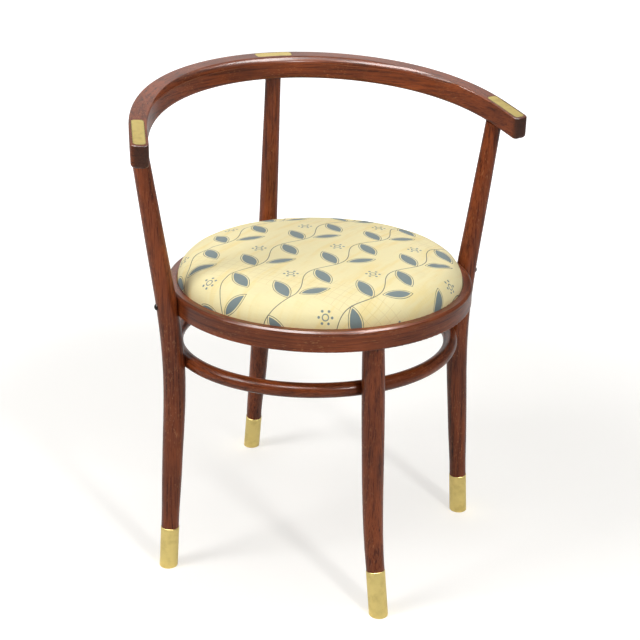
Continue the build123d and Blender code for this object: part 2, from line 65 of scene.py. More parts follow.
class GrainRun(Enum):
    """How the wood's grain runs through a bent piece."""

    UPRIGHT = "upright"
    ROUND_RAIL = "round the rail"
    ROUND_SEAT = "round the seat"


class Blend(Enum):
    """Ways of laying one colour over another."""

    OVER = "MIX"
    STAIN = "MULTIPLY"


@dataclass(frozen=True)
class Ramp:
    """Smooth change from a start to an end while a value goes from low to high."""

    low: float
    high: float
    start: float = 0.0
    end: float = 1.0


@dataclass(frozen=True)
class Figure:
    """Irregular figure in a surface, by its waves per metre in three directions."""

    waves: Point
    detail: float = 3.0
    roughness: float = 0.55


class NodeSheet:
    """A node tree with short calls for the nodes that the finishes use."""

    edge_samples: int = 6
    edge_turn: Ramp = Ramp(0.99, 0.86)

    def __init__(self, tree: bpy.types.NodeTree) -> None:
        """Empties a tree and keeps it."""
        self.tree = tree
        tree.nodes.clear()

    def add(self, kind: str, **settings: object) -> bpy.types.Node:
        """Adds a node.

        Args:
            kind: Blender's name of the node type.
            settings: properties of the node.

        Returns:
            The new node.
        """
        made = self.tree.nodes.new(kind)
        for name, value in settings.items():
            setattr(made, name, value)
        return made

    def put(self, value: Value | Colour | Point, socket: bpy.types.NodeSocket) -> None:
        """Links a socket to another, or sets its constant.

        Args:
            value: a socket, a number, a colour or a vector.
            socket: the input that takes it.
        """
        if isinstance(value, bpy.types.NodeSocket):
            self.tree.links.new(value, socket)
        elif isinstance(value, tuple) and socket.type == "RGBA":
            socket.default_value = (*value, 1.0)
        else:
            socket.default_value = value

    def fill(self, node: bpy.types.Node, values: dict[str, Value | Colour]) -> None:
        """Gives several inputs of a node their values, by the inputs' names."""
        for name, value in values.items():
            self.put(value, node.inputs[name])

    def place(self) -> bpy.types.NodeSocket:
        """Place on the piece, in metres."""
        return self.add("ShaderNodeTexCoord").outputs["Object"]

    def math(self, operation: str, *values: Value) -> bpy.types.NodeSocket:
        """Adds a Math node.

        Args:
            operation: Blender's name of the operation.
            values: sockets or numbers, in order.

        Returns:
            The result.
        """
        made = self.add("ShaderNodeMath", operation=operation)
        for value, socket in zip(values, made.inputs):
            self.put(value, socket)
        return made.outputs[0]

    def length(self, u: Value, v: Value) -> bpy.types.NodeSocket:
        """Length of a flat vector."""
        squares = self.math("MULTIPLY_ADD", u, u, self.math("MULTIPLY", v, v))
        return self.math("SQRT", squares)

    def vector(self, x: Value, y: Value, z: Value) -> bpy.types.NodeSocket:
        """Joins three values into a vector.

        Args:
            x: the first value.
            y: the second value.
            z: the third value.

        Returns:
            The vector.
        """
        made = self.add("ShaderNodeCombineXYZ")
        for value, socket in zip((x, y, z), made.inputs):
            self.put(value, socket)
        return made.outputs[0]

    def split(self, vector: bpy.types.NodeSocket) -> tuple[bpy.types.NodeSocket, ...]:
        """Splits a vector.

        Args:
            vector: what is split.

        Returns:
            Its three values.
        """
        made = self.add("ShaderNodeSeparateXYZ")
        self.put(vector, made.inputs[0])
        return tuple(made.outputs)

    def figure(self, place: bpy.types.NodeSocket, figure: Figure) -> bpy.types.NodeSocket:
        """Adds an irregular figure.

        Args:
            place: where it is read, in metres.
            figure: its waves and detail.

        Returns:
            The figure, from 0 to 1.
        """
        stretched = self.add("ShaderNodeVectorMath", operation="MULTIPLY")
        self.put(place, stretched.inputs[0])
        self.put(figure.waves, stretched.inputs[1])
        made = self.add("ShaderNodeTexNoise")
        settings = {"Scale": 1.0, "Detail": figure.detail, "Roughness": figure.roughness}
        self.fill(made, {"Vector": stretched.outputs[0], **settings})
        return made.outputs[0]

    def span(self, value: Value, ramp: Ramp) -> bpy.types.NodeSocket:
        """Maps a value by a ramp.

        Args:
            value: what is mapped.
            ramp: the change.

        Returns:
            The mapped value.
        """
        made = self.add("ShaderNodeMapRange", interpolation_type="SMOOTHSTEP")
        settings = (value, ramp.low, ramp.high, ramp.start, ramp.end)
        for item, socket in zip(settings, made.inputs):
            self.put(item, socket)
        return made.outputs[0]

    def mix(
        self,
        share: Value,
        below: bpy.types.NodeSocket | Colour,
        on_top: bpy.types.NodeSocket | Colour,
        way: Blend = Blend.OVER,
    ) -> bpy.types.NodeSocket:
        """Mixes two colours.

        Args:
            share: how much of the second shows.
            below: the first colour.
            on_top: the second colour.
            way: how it is laid on.

        Returns:
            The mixed colour.
        """
        made = self.add("ShaderNodeMix", data_type="RGBA", blend_type=way.value)
        self.put(share, made.inputs[0])
        self.put(below, made.inputs[MIX_BELOW])
        self.put(on_top, made.inputs[MIX_ON_TOP])
        return made.outputs[MIX_RESULT]

    def bump(self, height: bpy.types.NodeSocket, depth: float, strength: float) -> bpy.types.NodeSocket:
        """Turns a height into a bumped normal.

        Args:
            height: the relief, from 0 to 1.
            depth: its depth, in metres.
            strength: how much of it shows.

        Returns:
            The normal.
        """
        made = self.add("ShaderNodeBump")
        self.fill(made, {"Strength": strength, "Distance": depth, "Height": height})
        return made.outputs[0]

    def edges(self, reach: float) -> bpy.types.NodeSocket:
        """Masks the edges of a form.

        Args:
            reach: how far the mask comes in from an edge, in metres.

        Returns:
            The mask, 1 on an edge.
        """
        soft = self.add("ShaderNodeBevel", samples=self.edge_samples)
        soft.inputs["Radius"].default_value = reach
        true = self.add("ShaderNodeNewGeometry")
        turned = self.add("ShaderNodeVectorMath", operation="DOT_PRODUCT")
        self.put(soft.outputs[0], turned.inputs[0])
        self.put(true.outputs["Normal"], turned.inputs[1])
        return self.span(turned.outputs["Value"], self.edge_turn)

    def seen(self, rays: bpy.types.Node) -> bpy.types.NodeSocket:
        """Picks the rays that come from the eye, straight or through glass."""
        return self.math("MAXIMUM", rays.outputs["Is Camera Ray"], rays.outputs["Is Transmission Ray"])


def blank_finish(name: str) -> tuple[bpy.types.Material, NodeSheet]:
    """Starts a material with no nodes.

    Args:
        name: the finish.

    Returns:
        The material and its sheet of nodes.
    """
    material = bpy.data.materials.new(name)
    material.use_nodes = True
    return material, NodeSheet(material.node_tree)


def new_finish(name: str) -> tuple[bpy.types.Material, NodeSheet, bpy.types.Node]:
    """Starts a material with a plain surface shader.

    Args:
        name: the finish.

    Returns:
        The material, its sheet of nodes and its shader.
    """
    material, sheet = blank_finish(name)
    shader = sheet.add("ShaderNodeBsdfPrincipled")
    output = sheet.add("ShaderNodeOutputMaterial")
    sheet.put(shader.outputs[0], output.inputs["Surface"])
    return material, sheet, shader


@dataclass(frozen=True)
class StainedBeech:
    """Beech stained a dark reddish brown and polished."""

    name: str
    run: GrainRun
    centre: Pair = (0.0, 0.0)
    bend: float = 0.25
    offset: float = 0.0
    end_y: float | None = None
    dark: Colour = (0.050, 0.0105, 0.0030)
    warm: Colour = (0.27, 0.060, 0.0150)
    fleck: Colour = (0.36, 0.135, 0.050)
    pore: Colour = (0.26, 0.20, 0.18)
    rubbed: Colour = (0.30, 0.105, 0.040)
    end_grain: Colour = (0.030, 0.014, 0.009)
    clouds: Figure = Figure((26.0, 26.0, 9.0))
    rings: Figure = Figure((270.0, 270.0, 4.5), 4.0, 0.62)
    threads: Figure = Figure((900.0, 900.0, 24.0), 2.0, 0.6)
    rays: Figure = Figure((560.0, 560.0, 170.0), 2.0, 0.5)
    patches: Figure = Figure((30.0, 30.0, 14.0), 2.0)
    cloud_share: Ramp = Ramp(0.28, 0.72, 0.42, 1.0)
    ring_share: Ramp = Ramp(0.46, 0.72, 0.0, 0.9)
    ray_share: Ramp = Ramp(0.57, 0.68)
    fleck_share: Ramp = Ramp(0.40, 0.66, 0.06, 0.55)
    thread_share: Ramp = Ramp(0.53, 0.68, 0.0, 0.75)
    wear_share: Ramp = Ramp(0.35, 0.65, 0.15, 0.6)
    wear_reach: float = 0.0022
    dullness: Ramp = Ramp(0.25, 0.75, 0.40, 0.30)
    polish: float = 0.4
    polish_blur: float = 0.2
    shine: float = 0.12
    relief_depth: float = 0.0001
    relief_strength: float = 0.12
    end_reach: float = 0.012
    end_share: float = 0.8
    end_facing: Ramp = Ramp(0.0, -1.0)

    def grain(self, sheet: NodeSheet) -> bpy.types.NodeSocket:
        """Lays a piece's own coordinates out as across, across and along the grain.

        Args:
            sheet: the nodes of the finish.

        Returns:
            The vector in metres, with the grain along its third value.
        """
        x, y, z = sheet.split(sheet.place())
        if self.run is GrainRun.UPRIGHT:
            return sheet.vector(sheet.math("ADD", x, self.offset), y, sheet.math("ADD", z, self.offset))
        dx = sheet.math("SUBTRACT", x, self.centre[0])
        dy = sheet.math("SUBTRACT", y, self.centre[1])
        facing = dy if self.run is GrainRun.ROUND_RAIL else sheet.math("MULTIPLY", dy, -1.0)
        angle = sheet.math("ARCTAN2", dx, facing)
        along = sheet.math("MULTIPLY_ADD", angle, self.bend, self.offset)
        return sheet.vector(sheet.length(dx, dy), z, along)

    def sawn_end(self, sheet: NodeSheet) -> bpy.types.NodeSocket:
        """Masks the sawn ends, which look forward and drink more stain.

        Args:
            sheet: the nodes of the finish.

        Returns:
            The mask.
        """
        forward = sheet.split(sheet.add("ShaderNodeNewGeometry").outputs["Normal"])[1]
        depth = sheet.split(sheet.place())[1]
        near = sheet.span(depth, Ramp(self.end_y + self.end_reach, self.end_y, 0.0, self.end_share))
        return sheet.math("MULTIPLY", sheet.span(forward, self.end_facing), near)

    def make(self) -> bpy.types.Material:
        """Builds the finish.

        Returns:
            The material.
        """
        material, sheet, shader = new_finish(self.name)
        grain = self.grain(sheet)
        clouds = sheet.figure(grain, self.clouds)
        rings = sheet.figure(grain, self.rings)
        threads = sheet.figure(grain, self.threads)
        rays = sheet.figure(grain, self.rays)
        patches = sheet.figure(grain, self.patches)
        colour = sheet.mix(sheet.span(clouds, self.cloud_share), self.dark, self.warm)
        colour = sheet.mix(sheet.span(rings, self.ring_share), colour, self.dark)
        lit = sheet.span(rays, self.ray_share)
        flecks = sheet.math("MULTIPLY", lit, sheet.span(patches, self.fleck_share))
        colour = sheet.mix(flecks, colour, self.fleck)
        colour = sheet.mix(sheet.span(threads, self.thread_share), colour, self.pore, Blend.STAIN)
        worn = sheet.math("MULTIPLY", sheet.edges(self.wear_reach), sheet.span(patches, self.wear_share))
        colour = sheet.mix(worn, colour, self.rubbed)
        if self.end_y is not None:
            colour = sheet.mix(self.sawn_end(sheet), colour, self.end_grain)
        relief = sheet.bump(sheet.math("ADD", threads, rings), self.relief_depth, self.relief_strength)
        surface = {
            "Base Color": colour,
            "Roughness": sheet.span(clouds, self.dullness),
            "Coat Weight": self.polish,
            "Coat Roughness": self.polish_blur,
            "Specular IOR Level": self.shine,
            "Normal": relief,
        }
        sheet.fill(shader, surface)
        return material


@dataclass(frozen=True)
class SatinBrass:
    """Brushed brass, a little tarnished, with painted shade darkening its edges."""

    name: str
    clean: Colour = (0.86, 0.69, 0.26)
    tarnish: Colour = (0.50, 0.36, 0.11)
    # Near-black of the painted edge shade, which stands in for the shadow in the joints
    painted_edge_shade: Colour = (0.075, 0.045, 0.020)
    brushing: Figure = Figure((60.0, 60.0, 2600.0), 2.0)
    clouds: Figure = Figure((55.0, 55.0, 55.0), 4.0, 0.6)
    spots: Figure = Figure((420.0, 420.0, 420.0), 3.0, 0.6)
    cloud_share: Ramp = Ramp(0.42, 0.75, 0.0, 0.4)
    spot_share: Ramp = Ramp(0.64, 0.74, 0.0, 0.4)
    # Width and strength of the painted edge shade
    outline: float = 0.0012
    painted_edge_shade_share: float = 0.8
    dullness: Ramp = Ramp(0.2, 0.8, 0.28, 0.44)
    relief_depth: float = 0.00002
    relief_strength: float = 0.25

    def make(self) -> bpy.types.Material:
        """Builds the finish.

        Returns:
            The material.
        """
        material, sheet, shader = new_finish(self.name)
        place = sheet.place()
        brushed = sheet.figure(place, self.brushing)
        clouds = sheet.span(sheet.figure(place, self.clouds), self.cloud_share)
        spots = sheet.span(sheet.figure(place, self.spots), self.spot_share)
        colour = sheet.mix(clouds, self.clean, self.tarnish)
        colour = sheet.mix(spots, colour, self.tarnish)
        # Painted shade: a near-black line along every edge of the brass, standing in for the shadow in the
        # joints round the plates and at the cups' rims
        painted_edge_shade = sheet.math("MULTIPLY", sheet.edges(self.outline), self.painted_edge_shade_share)
        colour = sheet.mix(painted_edge_shade, colour, self.painted_edge_shade)
        surface = {
            "Base Color": colour,
            "Metallic": 1.0,
            "Roughness": sheet.span(brushed, self.dullness),
            "Normal": sheet.bump(brushed, self.relief_depth, self.relief_strength),
        }
        sheet.fill(shader, surface)
        return material


@dataclass(frozen=True)
class DarkSteel:
    """Blackened steel of the screws and tacks."""

    name: str = "dark_steel"
    black: Colour = (0.030, 0.027, 0.027)
    worn: Colour = (0.16, 0.13, 0.11)
    rubbing: Figure = Figure((900.0, 900.0, 900.0))
    worn_share: Ramp = Ramp(0.5, 0.75, 0.0, 0.7)
    dullness: Ramp = Ramp(0.3, 0.7, 0.42, 0.3)

    def make(self) -> bpy.types.Material:
        """Builds the finish.

        Returns:
            The material.
        """
        material, sheet, shader = new_finish(self.name)
        rubbed = sheet.figure(sheet.place(), self.rubbing)
        surface = {
            "Base Color": sheet.mix(sheet.span(rubbed, self.worn_share), self.black, self.worn),
            "Metallic": 1.0,
            "Roughness": sheet.span(rubbed, self.dullness),
        }
        sheet.fill(shader, surface)
        return material


@dataclass(frozen=True)
class BirchPly:
    """Raw face of the plywood under the seat."""

    name: str = "birch_ply"
    pale: Colour = (0.52, 0.36, 0.20)
    brown: Colour = (0.33, 0.20, 0.10)
    flames: Figure = Figure((9.0, 130.0, 600.0), 4.0, 0.6)
    fibres: Figure = Figure((60.0, 1400.0, 1400.0), 2.0)
    flame_share: Ramp = Ramp(0.35, 0.72)
    fibre_share: Ramp = Ramp(0.5, 0.75, 0.0, 0.4)
    dullness: float = 0.72
    relief_depth: float = 0.0002
    relief_strength: float = 0.4

    def make(self) -> bpy.types.Material:
        """Builds the finish.

        Returns:
            The material.
        """
        material, sheet, shader = new_finish(self.name)
        place = sheet.place()
        flames = sheet.figure(place, self.flames)
        fibres = sheet.figure(place, self.fibres)
        colour = sheet.mix(sheet.span(flames, self.flame_share), self.pale, self.brown)
        surface = {
            "Base Color": sheet.mix(sheet.span(fibres, self.fibre_share), colour, self.brown),
            "Roughness": self.dullness,
            "Normal": sheet.bump(fibres, self.relief_depth, self.relief_strength),
        }
        sheet.fill(shader, surface)
        return material


@dataclass(frozen=True)
class Leaf:
    """Printed leaf drawn by two arcs, by its middle, turn in degrees and half sizes."""

    middle: Pair
    lean: float
    half_length: float
    half_width: float

    def distance(self, sheet: NodeSheet, u: Value, v: Value) -> bpy.types.NodeSocket:
        """Signed distance to the leaf.

        Args:
            sheet: the nodes of the finish.
            u: place across the repeat, in metres.
            v: place along the repeat, in metres.

        Returns:
            The distance in metres, negative inside.
        """
        c, s = math.cos(math.radians(self.lean)), math.sin(math.radians(self.lean))
        pu = sheet.math("SUBTRACT", u, self.middle[0])
        pv = sheet.math("SUBTRACT", v, self.middle[1])
        along = sheet.math("MULTIPLY_ADD", pu, c, sheet.math("MULTIPLY", pv, s))
        across = sheet.math("MULTIPLY_ADD", pv, c, sheet.math("MULTIPLY", pu, -s))
        radius = (self.half_length ** 2 + self.half_width ** 2) / (2 * self.half_width)
        reach = sheet.math("ADD", sheet.math("ABSOLUTE", across), radius - self.half_width)
        return sheet.math("SUBTRACT", sheet.length(along, reach), radius)


@dataclass(frozen=True)
class SeatCloth:
    """Woven cream cloth with slate leaves, wavy stems, dotted flowers and a pale lattice in bands."""

    name: str = "seat_cloth"
    cream: Colour = (0.85, 0.75, 0.41)
    straw: Colour = (0.83, 0.68, 0.29)
    slate: Colour = (0.165, 0.215, 0.215)
    ink: Colour = (0.085, 0.095, 0.090)
    tan: Colour = (0.60, 0.44, 0.17)
    turn: float = math.radians(38.0)
    repeat_across: float = 0.136
    repeat_along: float = 0.098
    print_edge: Ramp = Ramp(0.0003, -0.0003)
    wash: Figure = Figure((9.0, 55.0, 0.0))
    wash_share: Ramp = Ramp(0.46, 0.66, 0.0, 0.75)
    lattice_step: float = 0.0135
    lattice_line: float = 0.0008
    lattice_band: Ramp = Ramp(0.034, 0.032, 0.0, 0.38)
    stem_swing: float = 0.011
    stem_line: float = 0.0013
    leaves: tuple[Leaf, ...] = (
        Leaf((-0.034, 0.014), 52.0, 0.025, 0.0092),
        Leaf((-0.016, -0.030), -38.0, 0.020, 0.0070),
        Leaf((0.034, -0.014), 52.0, 0.025, 0.0092),
    )
    leaf_gap: float = 0.0022
    leaf_line: float = 0.0009
    flower: Pair = (0.016, 0.029)
    flower_ring: float = 0.0044
    flower_line: float = 0.0016
    flower_dots: int = 6
    dot_reach: float = 0.0095
    dot_radius: float = 0.0019
    thread: float = 0.00085
    slub: Figure = Figure((1400.0, 60.0, 0.0), 2.0)
    slub_shade: float = 0.16
    weave_shade: float = 0.10
    least_shade: float = 0.85
    dullness: float = 0.82
    shine: float = 0.25
    sheen: float = 0.12
    sheen_blur: float = 0.5
    relief_depth: float = 0.00018
    relief_strength: float = 0.5

    def filled(self, sheet: NodeSheet, distance: Value) -> bpy.types.NodeSocket:
        """Mask of a shape, by the signed distance to its edge."""
        return sheet.span(distance, self.print_edge)

    def drawn(self, sheet: NodeSheet, distance: Value, width: float) -> bpy.types.NodeSocket:
        """Mask of a line along the edge of a shape."""
        return self.filled(sheet, sheet.math("SUBTRACT", sheet.math("ABSOLUTE", distance), width / 2))

    def wave(self, sheet: NodeSheet, value: Value, length: float, size: float) -> bpy.types.NodeSocket:
        """A sine of a wavelength and a size."""
        turned = sheet.math("MULTIPLY", value, 2 * math.pi / length)
        return sheet.math("MULTIPLY", sheet.math("SINE", turned), size)

    def centred(self, sheet: NodeSheet, value: Value, step: float) -> bpy.types.NodeSocket:
        """Place within a repeat, measured from its middle."""
        share = sheet.math("FRACT", sheet.math("DIVIDE", value, step))
        return sheet.math("MULTIPLY", sheet.math("SUBTRACT", share, 0.5), step)

    def lattice(self, sheet: NodeSheet, u: Value, v: Value) -> bpy.types.NodeSocket:
        """Draws a square lattice in bands.

        Args:
            sheet: the nodes of the finish.
            u: place across the cloth, in metres.
            v: place along the cloth, in metres.

        Returns:
            The mask.
        """
        band = sheet.math("ABSOLUTE", self.centred(sheet, u, self.repeat_across * 2))
        steps = [self.centred(sheet, way, self.lattice_step) for way in (u, v)]
        bars, rungs = (self.drawn(sheet, step, self.lattice_line) for step in steps)
        lines = sheet.math("MAXIMUM", bars, rungs)
        return sheet.math("MULTIPLY", lines, sheet.span(band, self.lattice_band))

    def flower_marks(self, sheet: NodeSheet, u: Value, v: Value) -> tuple[bpy.types.NodeSocket, ...]:
        """Draws a small flower.

        Args:
            sheet: the nodes of the finish.
            u: place across the repeat, in metres.
            v: place along the repeat, in metres.

        Returns:
            The masks of its dots and of its ring.
        """
        pu = sheet.math("SUBTRACT", u, self.flower[0])
        pv = sheet.math("SUBTRACT", v, self.flower[1])
        out = sheet.length(pu, pv)
        turn = self.centred(sheet, sheet.math("ARCTAN2", pu, pv), 2 * math.pi / self.flower_dots)
        beyond = sheet.math("SUBTRACT", out, self.dot_reach)
        dots = sheet.length(beyond, sheet.math("MULTIPLY", turn, self.dot_reach))
        ring = sheet.math("SUBTRACT", out, self.flower_ring)
        return (
            self.filled(sheet, sheet.math("SUBTRACT", dots, self.dot_radius)),
            self.drawn(sheet, ring, self.flower_line),
        )

    def pattern(self, sheet: NodeSheet, u: Value, v: Value) -> bpy.types.NodeSocket:
        """Draws the printed pattern.

        Args:
            sheet: the nodes of the finish.
            u: place across the cloth, in metres.
            v: place along the cloth, in metres.

        Returns:
            The colour.
        """
        wash = sheet.figure(sheet.vector(u, v, 0.0), self.wash)
        colour = sheet.mix(sheet.span(wash, self.wash_share), self.cream, self.straw)
        colour = sheet.mix(self.lattice(sheet, u, v), colour, self.tan)
        row = sheet.math("FLOOR", sheet.math("DIVIDE", v, self.repeat_along))
        shift = sheet.math("MULTIPLY", sheet.math("FLOORED_MODULO", row, 2.0), self.repeat_across / 2)
        cu = self.centred(sheet, sheet.math("ADD", u, shift), self.repeat_across)
        cv = self.centred(sheet, v, self.repeat_along)
        stem = sheet.math("SUBTRACT", cv, self.wave(sheet, cu, self.repeat_across, self.stem_swing))
        colour = sheet.mix(self.drawn(sheet, stem, self.stem_line), colour, self.ink)
        for leaf in self.leaves:
            shape = leaf.distance(sheet, cu, cv)
            colour = sheet.mix(self.filled(sheet, shape), colour, self.slate)
            rim = sheet.math("SUBTRACT", shape, self.leaf_gap)
            colour = sheet.mix(self.drawn(sheet, rim, self.leaf_line), colour, self.ink)
        for mark in self.flower_marks(sheet, cu, cv):
            colour = sheet.mix(mark, colour, self.slate)
        return colour

    def make(self) -> bpy.types.Material:
        """Builds the finish.

        Returns:
            The material.
        """
        material, sheet, shader = new_finish(self.name)
        flat = sheet.add("ShaderNodeUVMap", uv_map="cloth").outputs[0]
        u0, v0, _ = sheet.split(flat)
        c, s = math.cos(self.turn), math.sin(self.turn)
        u = sheet.math("MULTIPLY_ADD", u0, c, sheet.math("MULTIPLY", v0, s))
        v = sheet.math("MULTIPLY_ADD", v0, c, sheet.math("MULTIPLY", u0, -s))
        warp, weft = (self.wave(sheet, way, self.thread * 2, 0.5) for way in (u, v))
        weave = sheet.math("MULTIPLY_ADD", warp, weft, 0.5)
        slub = sheet.figure(sheet.vector(u, v, 0.0), self.slub)
        woven = sheet.math("MULTIPLY_ADD", weave, self.weave_shade, self.least_shade)
        shade = sheet.math("MULTIPLY_ADD", slub, self.slub_shade, woven)
        grey = sheet.vector(shade, shade, shade)
        relief = sheet.bump(sheet.math("ADD", weave, slub), self.relief_depth, self.relief_strength)
        surface = {
            "Base Color": sheet.mix(1.0, self.pattern(sheet, u, v), grey, Blend.STAIN),
            "Roughness": self.dullness,
            "Specular IOR Level": self.shine,
            "Sheen Weight": self.sheen,
            "Sheen Roughness": self.sheen_blur,
            "Normal": relief,
        }
        sheet.fill(shader, surface)
        return material


@dataclass(frozen=True)
class PaleFloor:
    """Pale studio floor with a painted glow and tone that whiten it away from the chair."""

    name: str = "pale_floor"
    near: Colour = (1.0, 0.985, 0.955)
    far: Colour = (1.0, 1.0, 1.0)
    # Reaches of the painted tone and glow, in metres from under the chair
    tone_reach: Ramp = Ramp(0.6, 1.8)
    glow_reach: Ramp = Ramp(0.7, 1.9, 0.56, 1.0)
    matt: float = 0.54
    mirrored: float = 0.26

    def make(self) -> bpy.types.Material:
        """Builds the finish.

        Returns:
            The material.
        """
        material, sheet = blank_finish(self.name)
        x, y, _ = sheet.split(sheet.place())
        reach = sheet.length(x, y)
        # Painted light: the tone goes from cream near the chair to white further out
        tone = sheet.mix(sheet.span(reach, self.tone_reach), self.near, self.far)
        plain = sheet.add("ShaderNodeBsdfDiffuse")
        grey = (self.matt, self.matt, self.matt)
        sheet.put(sheet.mix(1.0, tone, grey, Blend.STAIN), plain.inputs["Color"])
        rays = sheet.add("ShaderNodeLightPath")
        # Painted light: the floor glows for the camera from 0.56 near the chair to full white further out,
        # and at 0.26 in polished surfaces
        straight = sheet.math("MULTIPLY", sheet.seen(rays), sheet.span(reach, self.glow_reach))
        mirrored = sheet.math("MULTIPLY", rays.outputs["Is Glossy Ray"], self.mirrored)
        lit = sheet.add("ShaderNodeEmission")
        sheet.fill(lit, {"Color": tone, "Strength": sheet.math("MAXIMUM", straight, mirrored)})
        both = sheet.add("ShaderNodeAddShader")
        sheet.put(plain.outputs[0], both.inputs[0])
        sheet.put(lit.outputs[0], both.inputs[1])
        output = sheet.add("ShaderNodeOutputMaterial")
        sheet.put(both.outputs[0], output.inputs["Surface"])
        return material


def show(name: str, mesh: bpy.types.Mesh) -> bpy.types.Object:
    """Puts a mesh into the scene as an object at the origin.

    Args:
        name: the piece.
        mesh: its shape.

    Returns:
        The object.
    """
    piece = bpy.data.objects.new(name, mesh)
    bpy.context.scene.collection.objects.link(piece)
    return piece


def coat(node: str, material: bpy.types.Material) -> None:
    """Gives a node of the frame one finish all over.

    Args:
        node: the piece.
        material: its finish.
    """
    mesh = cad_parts[node].data
    mesh.materials.clear()
    mesh.materials.append(material)
    log.info("%s: %s", node, material.name)


@dataclass
class BentFrame:
    """Arm rail, legs, seat ring and stretcher hoop of bent beech."""

    rail_centre: Pair = (0.0, -0.090)
    rail_bend: float = 0.285
    arm_end_y: float = -0.101
    seat_centre: Pair = (0.0, SEAT_AXIS_Y)
    seat_bend: float = 0.23
    ring_offset: float = 0.11
    hoop_offset: float = 0.83
    legs: tuple[str, ...] = ("left_leg", "right_leg", "back_leg", "front_leg")
    leg_offset: float = 0.37

    def dress(self) -> None:
        """Stains each piece with the grain along its bend."""
        rail_run, seat_run = GrainRun.ROUND_RAIL, GrainRun.ROUND_SEAT
        rail = StainedBeech("beech_rail", rail_run, self.rail_centre, self.rail_bend, end_y=self.arm_end_y)
        coat("arm_rail", rail.make())
        ring = StainedBeech("beech_ring", seat_run, self.seat_centre, self.seat_bend, self.ring_offset)
        coat("seat_ring", ring.make())
        hoop = StainedBeech("beech_hoop", seat_run, self.seat_centre, self.seat_bend, self.hoop_offset)
        coat("stretcher_hoop", hoop.make())
        for count, leg in enumerate(self.legs, start=1):
            wood = StainedBeech("beech_" + leg, GrainRun.UPRIGHT, offset=self.leg_offset * count)
            coat(leg, wood.make())


@dataclass
class BrassFittings:
    """Cups on the feet and plates let into the rail."""

    cups: tuple[str, ...] = ("left_ferrule", "right_ferrule", "back_ferrule", "front_ferrule")
    plates: tuple[str, ...] = PLATES
    turned: SatinBrass = SatinBrass("brass_cups")
    rubbed: SatinBrass = SatinBrass(
        "brass_plates",
        clean=(0.93, 0.745, 0.28),
        brushing=Figure((2200.0, 40.0, 40.0), 2.0),
        # Wider painted edge shade round the plates, standing in for the shadow in their pockets
        outline=0.0026,
        dullness=Ramp(0.2, 0.8, 0.40, 0.54),
    )

    def dress(self) -> None:
        """Gives the cups a turned and the plates a lengthways brushed brass."""
        for finish, pieces in ((self.turned, self.cups), (self.rubbed, self.plates)):
            brass = finish.make()
            for piece in pieces:
                coat(piece, brass)


class ClothForm:
    """Round cloth form in the making, with each corner's place on the flat cloth."""

    def __init__(self, axis_y: float) -> None:
        """Starts an empty form about an upright axis.

        Args:
            axis_y: the axis's place from front to back.
        """
        self.axis_y = axis_y
        self.work = bmesh.new()
        self.flat: dict[bmesh.types.BMVert, Pair] = {}

    def corner(self, radius: float, height: float, turn: float, run: float) -> bmesh.types.BMVert:
        """Adds a corner.

        Args:
            radius: its distance from the axis.
            height: its height.
            turn: its angle about the axis.
            run: its distance from the middle along the cloth.

        Returns:
            The corner.
        """
        c, s = math.cos(turn), math.sin(turn)
        made = self.work.verts.new((radius * c, self.axis_y + radius * s, height))
        self.flat[made] = (run * c, run * s)
        return made

    def patch(self, rows: list[list[bmesh.types.BMVert]]) -> None:
        """Joins rows of corners with square faces.

        Args:
            rows: the corners, row by row.
        """
        for low, high in zip(rows, rows[1:]):
            for i in range(len(low) - 1):
                self.work.faces.new((low[i], low[i + 1], high[i + 1], high[i]))

    def strip(self, above: list[bmesh.types.BMVert], below: list[bmesh.types.BMVert]) -> None:
        """Joins two closed rings of corners with faces."""
        for k in range(len(above)):
            self.work.faces.new((above[k - 1], below[k - 1], below[k], above[k]))

    def mesh(self, name: str) -> bpy.types.Mesh:
        """Finishes the form.

        Args:
            name: the mesh.

        Returns:
            The smooth mesh, with the flat cloth as its texture map.
        """
        bmesh.ops.recalc_face_normals(self.work, faces=self.work.faces)
        cloth = self.work.loops.layers.uv.new("cloth")
        for face in self.work.faces:
            face.smooth = True
            for loop in face.loops:
                loop[cloth].uv = self.flat[loop.vert]
        made = bpy.data.meshes.new(name)
        self.work.to_mesh(made)
        self.work.free()
        return made


@dataclass(frozen=True)
class Unevenness:
    """Soft unevenness of a form, by its waves, its height and the layer of noise it is read in."""

    waves: float
    size: float
    layer: float

    def at(self, x: float, y: float) -> float:
        """Height of the unevenness at a place."""
        return noise.noise(Vector((x * self.waves, y * self.waves, self.layer))) * self.size


